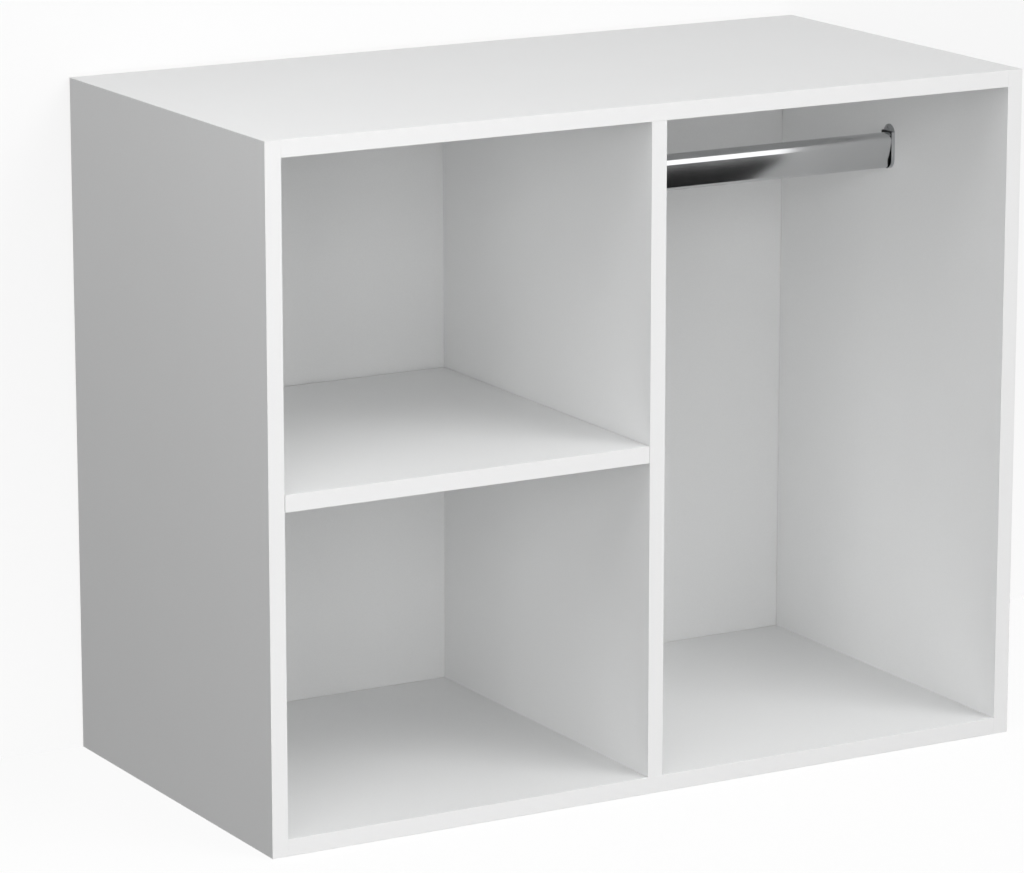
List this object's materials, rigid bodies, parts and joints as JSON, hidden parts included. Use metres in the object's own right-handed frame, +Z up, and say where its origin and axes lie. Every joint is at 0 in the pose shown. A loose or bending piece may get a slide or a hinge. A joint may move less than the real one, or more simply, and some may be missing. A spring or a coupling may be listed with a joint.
{
  "type": "open wardrobe unit",
  "caption": "Low open wardrobe unit in white board: an upright divider, a loose mid-height shelf on pins in the left bay, and a lift-out hanging rail across the right bay.",
  "frame": {"origin": "on the floor, under the middle of the unit's footprint", "axes": "+X to the right seen from the front, +Y from the open front to the back, +Z up"},
  "size_m": [0.8, 0.4, 0.65],
  "materials": {
    "melamine_board": "chipboard faced with white melamine, fine matt texture",
    "edge_band": "white plastic edging, satin",
    "hardboard": "thin hardboard, white lacquer in front and bare brown behind",
    "chrome_tube": "plated steel tube, bright",
    "socket_metal": "plated cast metal, satin",
    "zinc_fittings": "zinc-plated, satin",
    "black_plastic": "moulded black plastic, matt",
    "beech_dowel": "plain fluted beech"
  },
  "bodies": {
    "carcass": {"left_side": "melamine_board", "left_side_edging": "edge_band", "right_side": "melamine_board", "right_side_edging": "edge_band", "top_panel": "melamine_board", "top_panel_edging": "edge_band", "bottom_panel": "melamine_board", "bottom_panel_edging": "edge_band", "divider": "melamine_board", "divider_edging": "edge_band", "back_panel": "hardboard", "rail_socket_left": "socket_metal", "rail_socket_right": "socket_metal", "rail_pad_left": "black_plastic", "rail_pad_right": "black_plastic", "socket_screw_left_upper": "zinc_fittings", "socket_screw_left_lower": "zinc_fittings", "socket_screw_right_upper": "zinc_fittings", "socket_screw_right_lower": "zinc_fittings", "shelf_pin_left_front": "zinc_fittings", "shelf_pin_left_rear": "zinc_fittings", "shelf_pin_right_front": "zinc_fittings", "shelf_pin_right_rear": "zinc_fittings", "cam_top_left_front": "zinc_fittings", "cam_top_left_rear": "zinc_fittings", "cam_top_right_front": "zinc_fittings", "cam_top_right_rear": "zinc_fittings", "cam_bottom_left_front": "zinc_fittings", "cam_bottom_left_rear": "zinc_fittings", "cam_bottom_right_front": "zinc_fittings", "cam_bottom_right_rear": "zinc_fittings", "cam_divider_top_front": "zinc_fittings", "cam_divider_top_rear": "zinc_fittings", "cam_divider_bottom_front": "zinc_fittings", "cam_divider_bottom_rear": "zinc_fittings", "cam_bolt_top_left_front": "zinc_fittings", "cam_bolt_top_left_rear": "zinc_fittings", "cam_bolt_top_right_front": "zinc_fittings", "cam_bolt_top_right_rear": "zinc_fittings", "cam_bolt_bottom_left_front": "zinc_fittings", "cam_bolt_bottom_left_rear": "zinc_fittings", "cam_bolt_bottom_right_front": "zinc_fittings", "cam_bolt_bottom_right_rear": "zinc_fittings", "cam_bolt_divider_top_front": "zinc_fittings", "cam_bolt_divider_top_rear": "zinc_fittings", "cam_bolt_divider_bottom_front": "zinc_fittings", "cam_bolt_divider_bottom_rear": "zinc_fittings", "dowel_top_left_front": "beech_dowel", "dowel_top_left_rear": "beech_dowel", "dowel_top_right_front": "beech_dowel", "dowel_top_right_rear": "beech_dowel", "dowel_bottom_left_front": "beech_dowel", "dowel_bottom_left_rear": "beech_dowel", "dowel_bottom_right_front": "beech_dowel", "dowel_bottom_right_rear": "beech_dowel", "dowel_divider_top_middle": "beech_dowel", "dowel_divider_bottom_middle": "beech_dowel"},
    "shelf_board": {"shelf": "melamine_board", "shelf_edging": "edge_band"},
    "rail": {"hanging_rail": "chrome_tube"}
  },
  "joints": [
    {"name": "shelf_draw", "type": "slide", "parent": "carcass", "child": "shelf_board", "axis": [0, -1, 0], "range_m": [0, 0.15]},
    {"name": "rail_lift", "type": "slide", "parent": "carcass", "child": "rail", "axis": [0, 0, 1], "range_m": [0, 0.04]}
  ]
}
